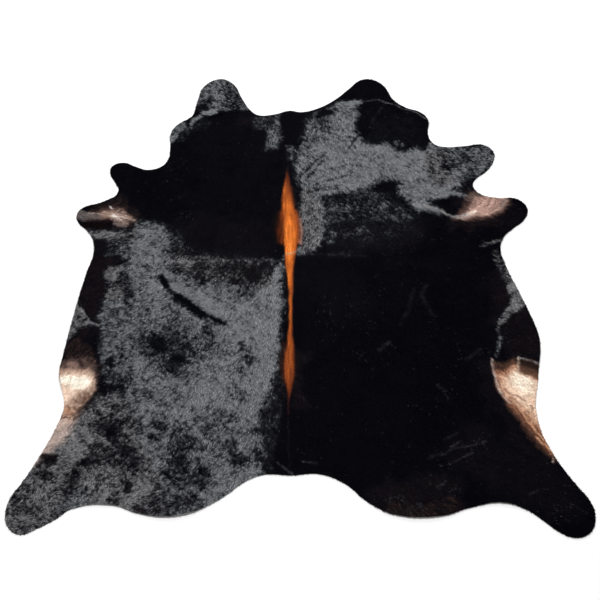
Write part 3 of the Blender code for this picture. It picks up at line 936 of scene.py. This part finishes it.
# Strokes over them: colour, strength, half-width, lines
PALE_STROKES = (
    # Left belly: fringe, curls, creases drawn as dark lines of painted shade, and the last dark spot
    ((34, 20, 20), 0.5, 8, ((-824, -366), (-812, -390)), ((-790, -366), (-776, -376))),
    ((146, 118, 108), 0.7, 11, ((-860, -386), (-838, -388))),
    ((78, 54, 42), 0.62, 3.6,
        ((-806, -520), (-790, -538), (-799, -558)), ((-828, -542), (-814, -562)),
        ((-851, -570), (-839, -580), (-846, -596)), ((-828, -575), (-817, -592)),
        ((-806, -578), (-812, -604)), ((-782, -516), (-776, -540)), ((-836, -600), (-822, -608)),
    ),
    ((214, 196, 182), 0.55, 3.4,
        ((-812, -505), (-798, -528)), ((-784, -500), (-772, -520)), ((-836, -520), (-824, -540)),
        ((-820, -560), (-806, -572)),
    ),
    ((180, 132, 102), 0.5, 14, ((-866, -576), (-844, -602))),
    ((88, 62, 50), 0.75, 3.4,
        ((-884, -644), (-869, -618), (-842, -610), (-818, -618)),
        ((-876, -630), (-852, -623), (-836, -630)),
    ),
    (BLACK_BROWN, 0.7, 13, ((-920, -792), (-885, -800))),
    ((120, 104, 98), 0.5, 3, ((-898, -430), (-884, -500), (-870, -560))),
    # Right belly: painted shade under its crease, painted highlights on the ridge and beside it, curls and
    # streaks
    # Painted shade under the crease
    ((92, 66, 53), 0.75, 16, ((828, -412), (862, -424), (890, -444))),
    ((40, 29, 25), 0.92, 12, ((830, -376), (860, -388), (900, -410))),
    ((74, 52, 40), 0.62, 9, ((726, -385), (770, -390), (790, -376))),
    # Painted highlights on the ridge and in white streaks beside it
    ((200, 182, 164), 0.6, 4.2, ((816, -356), (811, -385), (810, -420))),
    ((254, 247, 234), 0.55, 3.6,
        ((798, -424), (812, -470), (818, -502)), ((832, -442), (836, -490)), ((778, -436), (790, -470)),
    ),
    ((190, 172, 162), 0.65, 4.5, ((719, -362), (720, -410), (726, -460), (740, -512), (765, -560))),
    ((128, 94, 74), 0.6, 3.4,
        ((752, -496), (772, -518), (800, -530), (826, -552)), ((766, -532), (790, -546), (802, -566)),
        ((818, -600), (824, -594), (834, -598), (836, -608), (828, -615), (819, -611)),
        ((842, -570), (852, -592)),
    ),
    ((84, 55, 41), 0.68, 3.6,
        ((790, -578), (810, -628), (842, -678)), ((819, -640), (846, -690), (874, -727)),
        ((838, -700), (865, -739), (884, -772)), ((852, -662), (874, -704)), ((872, -748), (892, -776)),
    ),
    ((208, 162, 128), 0.6, 3.2,
        ((802, -590), (822, -635), (850, -676)), ((836, -650), (861, -695), (880, -722)),
        ((834, -612), (854, -648)), ((852, -710), (874, -742)), ((880, -735), (895, -765), (909, -786)),
    ),
    ((168, 148, 136), 0.7, 3.2, ((905, -800), (901, -820))),
    # Left elbow: the black oval, the star and its rays
    ((58, 36, 31), 0.4, 6, ((-862, 320), (-800, 316), (-766, 318))),
    ((14, 8, 9), 1.0, 14, ((-856, 298), (-802, 293), (-770, 294))),
    (DARK_BROWN, 0.8, 7, ((-842, 381), (-815, 378)), ((-800, 398), (-775, 396))),
    ((196, 176, 166), 0.75, 13, ((-748, 350), (-730, 340), (-722, 330))),
    ((252, 244, 236), 0.9, 7, ((-745, 347), (-736, 341))),
    ((182, 158, 146), 0.62, 3,
        ((-851, 360), (-805, 357), (-758, 346)), ((-792, 370), (-762, 358)), ((-737, 352), (-732, 374)),
        ((-727, 352), (-704, 362)), ((-739, 334), (-742, 304)), ((-722, 350), (-692, 346)),
        ((-722, 326), (-700, 306)),
    ),
    ((226, 212, 204), 0.75, 3.6, ((-734, 343), (-710, 337), (-690, 331)), ((-730, 334), (-716, 322))),
    ((196, 180, 172), 0.6, 3, ((-700, 334), (-660, 322))),
    ((60, 46, 44), 0.7, 2.8, ((-720, 334), (-690, 325), (-655, 314)), ((-716, 358), (-690, 354))),
    ((150, 132, 124), 0.6, 4, ((-736, 356), (-722, 384)), ((-716, 354), (-701, 364))),
    ((234, 226, 222), 0.8, 2.6, ((-765, 394), (-759, 385), (-753, 382))),
    ((142, 126, 120), 0.62, 12, ((-728, 318), (-722, 302), (-692, 304))),
    ((120, 106, 102), 0.6, 9, ((-738, 304), (-700, 288))),
    ((112, 98, 93), 0.6, 10, ((-838, 337), (-800, 334))),
    # Right elbow: the star, the tongue beside it, and the wrinkles in dark lines of painted shade and light
    # lines of painted highlight
    ((250, 234, 218), 0.9, 7.5, ((698, 367), (682, 358), (662, 347))),
    ((196, 176, 166), 0.85, 6.5, ((684, 352), (660, 340), (630, 332))),
    ((158, 138, 130), 0.55, 8, ((672, 336), (652, 328))),
    ((122, 114, 113), 0.7, 5.5, ((640, 336), (605, 336))),
    ((106, 92, 86), 0.6, 13, ((702, 464), (730, 458)), ((676, 436), (692, 450))),
    # Dark lines of painted shade in the wrinkles
    ((120, 92, 84), 0.6, 3.4,
        ((712, 400), (732, 420), (748, 440)), ((735, 392), (758, 412), (770, 438)),
        ((762, 384), (780, 406), (800, 440)), ((782, 378), (802, 402), (820, 428)),
        ((700, 390), (706, 420)),
    ),
    # Light lines of painted highlight on the wrinkles, and along the top of the patch
    ((214, 184, 168), 0.55, 3.4,
        ((706, 384), (726, 404), (742, 432)), ((748, 382), (772, 408), (786, 440)),
        ((690, 348), (735, 350), (775, 366), (802, 390)),
    ),
    ((132, 122, 114), 0.6, 8, ((812, 398), (828, 432))),
)


def paint_pale(colour, x, y):
    """Paint the pale patches over the coat's colours."""
    moved_x, moved_y = ragged(x, y, 0.014, 71)
    tufts = hair_streaks(x, y, 0.0040, 75) - 0.5
    curls = clouds(x, y, 0.0080, 76) - 0.5
    for tone, amount, softness, *corners in PALE:
        share = patch(moved_x, moved_y, softness, corners)
        share = np.clip(share + (tufts * 0.6 + curls * 0.3) * 4 * share * (1 - share), 0, 1) * amount
        near = share > 0
        painted = np.array(tone) * (1 + tufts[near, None] * 0.17 + curls[near, None] * 0.10)
        colour[near] += (painted - colour[near]) * share[near, None]
    moved_x, moved_y = ragged(x, y, 0.006, 81)
    for tone, strength, half_width, *lines in PALE_STROKES:
        for line in lines:
            share = strength * stroke(moved_x, moved_y, half_width, line)
            lay_over(colour, tone, np.clip(share * (1 + tufts * 0.9), 0, 1))


# ----------------------------------------------------------------------------------------------------
# The fold lines. Along each ridge and wrinkle a thin broken line of painted highlight stands for the hair
# parting and catching the light, and single grey hairs are scattered through the black.

# Brightness, half-width, line
LIT_LINES = (
    (0.34, 3.2, (220, 985), (330, 998), (360, 975)),  # right neck
    (0.46, 3.2, (360, 975), (400, 970), (440, 940), (490, 920), (530, 880)),  # right neck, rear
    (0.09, 5, (360, 970), (330, 920), (300, 860)),  # right neck, faint
    (0.6, 8, (460, 402), (510, 397), (545, 382), (567, 366)),  # right elbow, front brow
    (0.85, 4.8, (555, 374), (583, 347), (615, 338), (641, 342), (664, 350)),  # right elbow, brow
    (0.55, 4, (-840, -120), (-800, -188), (-765, -205)),  # left flank
    (0.8, 4.6, (820, -355), (856, -366), (896, -390)),  # right belly, crease
    (0.09, 8, (490, -10), (470, -50), (480, -100), (510, -160)),  # right ribs, middle fold
    (0.09, 8, (440, -30), (410, -140), (380, -200)),  # right ribs, fold
    (0.14, 7, (680, -320), (650, -340), (620, -360)),  # right ribs, rear fold
    (0.13, 8, (340, -280), (300, -320)),  # right loin, fold
    (0.1, 5, (500, -480), (540, -510)),  # right hip, fold
    (0.16, 4, (520, -720), (570, -690)),  # right thigh, first wrinkle
    (0.18, 4, (540, -755), (580, -725)),  # right thigh, second wrinkle
    (0.2, 4, (510, -785), (560, -755), (620, -745), (670, -725)),  # right thigh, third wrinkle
    (0.15, 4, (530, -825), (570, -805), (620, -775)),  # right thigh, fourth wrinkle
    (0.09, 5, (460, -800), (490, -790)),  # right thigh, front wrinkle
    (0.15, 4, (480, -920), (510, -910)),  # right buttock, wrinkle
    (0.14, 4, (810, -950), (840, -930)),  # right hock, wrinkle
    (0.18, 3, (-500, 95), (-450, 105), (-270, 113), (-100, 122)),  # cross fold, left
    (0.22, 3.8, (-770, 66), (-680, 66), (-500, 85)),  # cross fold, left ribs
    (0.08, 6, (60, 145), (160, 150), (260, 140)),  # cross fold, right
    (0.55, 2.8, (-66, 138), (-52, 150), (-40, 148), (-18, 160)),  # cross fold, stripe
    (0.3, 3.5, (-85, -815), (-55, -842), (-25, -868)),  # tail, root
    (0.34, 2.6, (5, -815), (60, -817)),  # tail, side
    (0.07, 3.5, (-42, -620), (-40, -840)),  # backbone, rump
    (0.16, 3, (-190, 886), (-120, 887)),  # neck wrinkle, first
    (0.14, 3, (-180, 872), (-120, 874)),  # neck wrinkle, second
    (0.26, 4, (-190, 838), (-130, 834)),  # neck wrinkle, third
    (0.18, 3, (-185, 824), (-140, 820)),  # neck wrinkle, fourth
)
# Colour of the painted highlights along the folds
LIT_HAIR = (166, 162, 162)

# Where grey hairs are thickest: share, half-width, line
GREY_HAIRS = (
    (0.04, 60, (550, -200), (660, -340)),  # right ribs
    (0.05, 40, (520, -450), (570, -530)),  # right hip
    (0.05, 50, (800, -200), (850, -340)),  # right flank
    (0.06, 30, (480, -900), (540, -930)),  # right rump
    (0.4, 34, (340, -990), (400, -1010)),  # right rump, rear
    (0.06, 40, (500, -800), (660, -740)),  # right thigh
    (0.03, 80, (200, 260), (450, 220)),  # right shoulder
    (0.04, 50, (-500, 660), (-520, 500), (-480, 360)),  # left shoulder, side
    (0.06, 50, (880, -980), (950, -1060)),  # right foot
    (0.02, 100, (150, -150), (250, -300)),  # right loin
)
GREY_HAIR = (44, 45, 49)
FEWEST_GREY = 0.003
DARK_COAT = 40


def paint_fold_lines(colour, x, y):
    """Paint the lit fold lines and the grey hairs over the coat's colours."""
    broken = 0.35 + 1.0 * clouds(x, y, 0.012, 95)
    lit = strongest_stroke(*ragged(x, y, 0.008, 91), LIT_LINES)
    lay_over(colour, LIT_HAIR, np.clip(lit * broken, 0, 1))
    share = add_strokes(np.full(len(x), FEWEST_GREY), x, y, GREY_HAIRS)
    share = share * clouds(x, y, 0.03, 96) ** 3 * 3
    grey = np.random.default_rng(97).random(len(x)) < share
    dark = colour.mean(1) < DARK_COAT
    colour[grey & dark] = GREY_HAIR


def coat_colour(x, y):
    """The colour of the hair at each place, with its painted sheen and painted highlights laid in."""
    colour = ground_coat(x, y)
    # Painted sheen laid over the black
    lay_over(colour, *painted_sheen_colour(x, y))
    paint_pale(colour, x, y)
    paint_stripe(colour, x, y)
    # Painted highlights along the fold lines, and grey hairs
    paint_fold_lines(colour, x, y)
    return colour


# ----------------------------------------------------------------------------------------------------
# The hair itself. A dense mat of short hair covers the grain side, and tufts of it, about 11 mm long and a
# little lifted, lie over each other like thatch. It is made in six parts, left and right: shoulders, ribs and
# rump.

MAT_STEP = 0.0076
MAT_DEPTH = 0.0012
MAT_INSET = 0.0012
MAT_LIFT = 0.0001
MAT_EDGE = 0.008
TUFT_SPACING = 0.00415
TUFT_LENGTH = 0.0115
TUFT_WIDTH = 0.0026
TUFT_RIDGE = 0.0009
RIDGE_PLACE = 0.4  # share of the length from root to tip
TUFT_SUNK = 0.0002
TUFT_STRAY = 0.16
TUFT_LIFTS = (0.0006, 0.0024)
SHORTEST_TUFT = 0.004
EDGE_REACH = 0.0015  # roots stay this far inside the outline, and tips this near outside it
# Painted shade at the two root corners and painted highlight at the ridge and the tip, as factors on each
# tuft's colour
TUFT_PAINTED_SHADING = (0.84, 0.84, 1.12, 1.24)  # the two root corners, the ridge and the tip
TUFT_FACES = np.array([[0, 2, 3], [1, 3, 2], [0, 3, 1], [0, 1, 2]])
STRONG_COLOUR = 14
SHOULDER_LINE = 0.26
RUMP_LINE = -0.42

hair, nodes, links, shader = start_finish("cattle_hair", 0.012)
fibres = add_fibres(nodes, links, shader, scale=420.0, detail=3.0, strength=0.5, height=0.0004)
growth = nodes.new("ShaderNodeAttribute")
growth.attribute_name = "coat"
# The fibre noise also scales the hair's colour, darker where the fibres lie low: random grain, and partly
# painted shade in the hollows between fibres
depth = nodes.new("ShaderNodeMapRange")
depth.inputs["From Min"].default_value = 0.3
depth.inputs["From Max"].default_value = 0.7
depth.inputs["To Min"].default_value = 0.70
depth.inputs["To Max"].default_value = 1.34
links.new(fibres, depth.inputs["Value"])
tinted = nodes.new("ShaderNodeVectorMath")
tinted.operation = "SCALE"
links.new(growth.outputs["Color"], tinted.inputs[0])
links.new(depth.outputs["Result"], tinted.inputs["Scale"])
links.new(tinted.outputs["Vector"], shader.inputs["Base Color"])
gloss = nodes.new("ShaderNodeMapRange")
gloss.inputs["To Min"].default_value = 0.42
gloss.inputs["To Max"].default_value = 0.68
links.new(fibres, gloss.inputs["Value"])
links.new(gloss.outputs["Result"], shader.inputs["Roughness"])


def mat_depth(way):
    """How deep the mat of hair lies, by the way in from the outline."""
    return MAT_DEPTH * ease((way + 0.001) / MAT_EDGE)


def as_light(colour):
    """Screen values from 0 to 255, as light."""
    value = np.clip(colour, 0, 255) / 255
    return np.where(value <= 0.04045, value / 12.92, ((value + 0.055) / 1.055) ** 2.4)


# The mat
mat_flat, mat_faces = lay_out(outline + inward * MAT_INSET, MAT_STEP)
mat_x, mat_y = mat_flat.T
mat_height = rise(mat_x, mat_y) + LEATHER_THICKNESS + (mat_depth(way_in(mat_x, mat_y)) + MAT_LIFT)
mat_points = np.column_stack([mat_flat, mat_height])
mat_colour = coat_colour(mat_x, mat_y)
# The mat between the tufts is painted darker, as the shade among the roots, most where the hair is black or
# grey
painted_root_shade = np.interp(mat_colour.max(1) - mat_colour.min(1), (10, 30), (0.45, 0.85))
mat_colour = as_light(mat_colour) * painted_root_shade[:, None]

# The tufts, each with two root corners, a ridge and a tip
lot = np.random.default_rng(7)
x, y = np.meshgrid(
    np.arange(cad_box[0].x, cad_box[1].x, TUFT_SPACING), np.arange(cad_box[0].y, cad_box[1].y, TUFT_SPACING)
)
x = x.ravel() + lot.uniform(-0.5, 0.5, x.size) * TUFT_SPACING
y = y.ravel() + lot.uniform(-0.5, 0.5, y.size) * TUFT_SPACING
root_in = way_in(x, y)
grows = root_in > EDGE_REACH
x, y, root_in = x[grows], y[grows], root_in[grows]
count = len(x)
across, along = turned(*hair_heading(x, y), lot.normal(0, TUFT_STRAY, count))
length = TUFT_LENGTH * lot.uniform(0.75, 1.15, count)
width = TUFT_WIDTH * lot.uniform(0.7, 1.2, count)
tip_in = way_in(x + across * length, y + along * length)
overhang = np.clip(-EDGE_REACH - tip_in, 0, None)
length = np.maximum(length - overhang * 1.1, SHORTEST_TUFT)
tip_x = x + across * length
tip_y = y + along * length
base = rise(x, y) + LEATHER_THICKNESS + mat_depth(root_in) - TUFT_SUNK
lift = lot.uniform(*TUFT_LIFTS, count) * ease(0.3 + root_in / 0.02)
tip_height = rise(tip_x, tip_y) + LEATHER_THICKNESS + mat_depth(np.maximum(tip_in, 0)) + lift
ridge_height = base * (1 - RIDGE_PLACE) + tip_height * RIDGE_PLACE + TUFT_RIDGE
side_x = -along * width / 2
side_y = across * width / 2
tuft_points = np.stack(
    [
        np.column_stack([x - side_x, y - side_y, base]),
        np.column_stack([x + side_x, y + side_y, base]),
        np.column_stack([x + across * length * RIDGE_PLACE, y + along * length * RIDGE_PLACE, ridge_height]),
        np.column_stack([tip_x, tip_y, tip_height]),
    ],
    1,
)
tuft_colour = coat_colour(x + across * length * 0.6, y + along * length * 0.6)
spread = np.interp(tuft_colour.mean(1), (20, 110), (0.30, 0.13))
spread = np.where(tuft_colour.max(1) - tuft_colour.min(1) > STRONG_COLOUR, 0.07, spread)
tuft_colour = as_light(tuft_colour * (1 + lot.normal(0, 1, count) * spread)[:, None])
# Each tuft's colour with painted shade at its roots and painted highlight at its ridge and tip
tuft_painted_shading = tuft_colour[:, None, :] * np.array(TUFT_PAINTED_SHADING)[None, :, None]


def colour_hair(piece, colour):
    """The colour of each point of a piece, for its material."""
    layer = piece.data.color_attributes.new("coat", "FLOAT_COLOR", "POINT")
    filled = np.column_stack([colour, np.ones(len(colour))])
    layer.data.foreach_set("color", np.ascontiguousarray(filled, np.float32).ravel())


def part_of_coat(x, y):
    """Which of the six parts a place belongs to."""
    row = np.where(y > SHOULDER_LINE, 0, np.where(y > RUMP_LINE, 1, 2))
    return row * 2 + (x > BACKBONE)


parts = ("left_shoulder", "right_shoulder", "left_ribs", "right_ribs", "left_rump", "right_rump")
middles = mat_flat[mat_faces].mean(1)
mat_part = part_of_coat(middles[:, 0], middles[:, 1])
tuft_part = part_of_coat(x, y)
for index, name in enumerate(parts):
    used, faces = np.unique(mat_faces[mat_part == index], return_inverse=True)
    mine = tuft_part == index
    points = np.vstack([mat_points[used], tuft_points[mine].reshape(-1, 3)])
    tuft_faces = (TUFT_FACES[None] + 4 * np.arange(mine.sum())[:, None, None]).reshape(-1, 3) + len(used)
    piece = make_piece("coat_" + name, points, np.vstack([faces.reshape(-1, 3), tuft_faces]), hair)
    colour_hair(piece, np.vstack([mat_colour[used], tuft_painted_shading[mine].reshape(-1, 3)]))


# ----------------------------------------------------------------------------------------------------
# The room. A white floor, soft light from large lamps overhead and behind the neck, and the camera in front
# of the tail, looking down at 52 degrees.

FLOOR_REACH = 30

floor_mesh = bpy.data.meshes.new("floor")
floor_corners = [(x * FLOOR_REACH, y * FLOOR_REACH, 0) for x, y in ((-1, -1), (1, -1), (1, 1), (-1, 1))]
floor_mesh.from_pydata(floor_corners, [], [(0, 1, 2, 3)])
floor = bpy.data.objects.new("floor", floor_mesh)
floor.location.z = -0.0006
bpy.context.scene.collection.objects.link(floor)
white, nodes, links, shader = start_finish("white_floor", 0.0)
shader.inputs["Base Color"].default_value = (0.74, 0.74, 0.74, 1)
shader.inputs["Roughness"].default_value = 0.9
floor_mesh.materials.append(white)

world = bpy.data.worlds.new("room")
world.use_nodes = True
world.node_tree.nodes["Background"].inputs["Color"].default_value = (1.0, 1.0, 1.0, 1)
world.node_tree.nodes["Background"].inputs["Strength"].default_value = 0.38
bpy.context.scene.world = world


def hang_lamp(name, place, aim, size, power):
    """A large square lamp."""
    lamp = bpy.data.objects.new(name, bpy.data.lights.new(name, "AREA"))
    lamp.data.size = size
    lamp.data.energy = power
    lamp.location = place
    lamp.rotation_euler = (Vector(aim) - Vector(place)).to_track_quat("-Z", "Y").to_euler()
    bpy.context.scene.collection.objects.link(lamp)


hang_lamp("overhead_lamp", (-0.9, 0.3, 7.0), (0, 0, 0), 2.4, 495.0)
hang_lamp("neck_lamp", (0.0, 8.0, 4.0), (0, 0, 0), 2.6, 440.0)

camera = bpy.data.objects.new("camera", bpy.data.cameras.new("camera"))
camera.data.sensor_width = 36.0
camera.data.lens = 99.5
camera.location = (-0.0007, -4.0, 5.021)
camera.rotation_euler = (math.radians(38.0), 0.0, 0.0)
bpy.context.scene.collection.objects.link(camera)
bpy.context.scene.camera = camera
bpy.context.scene.view_settings.view_transform = "Standard"
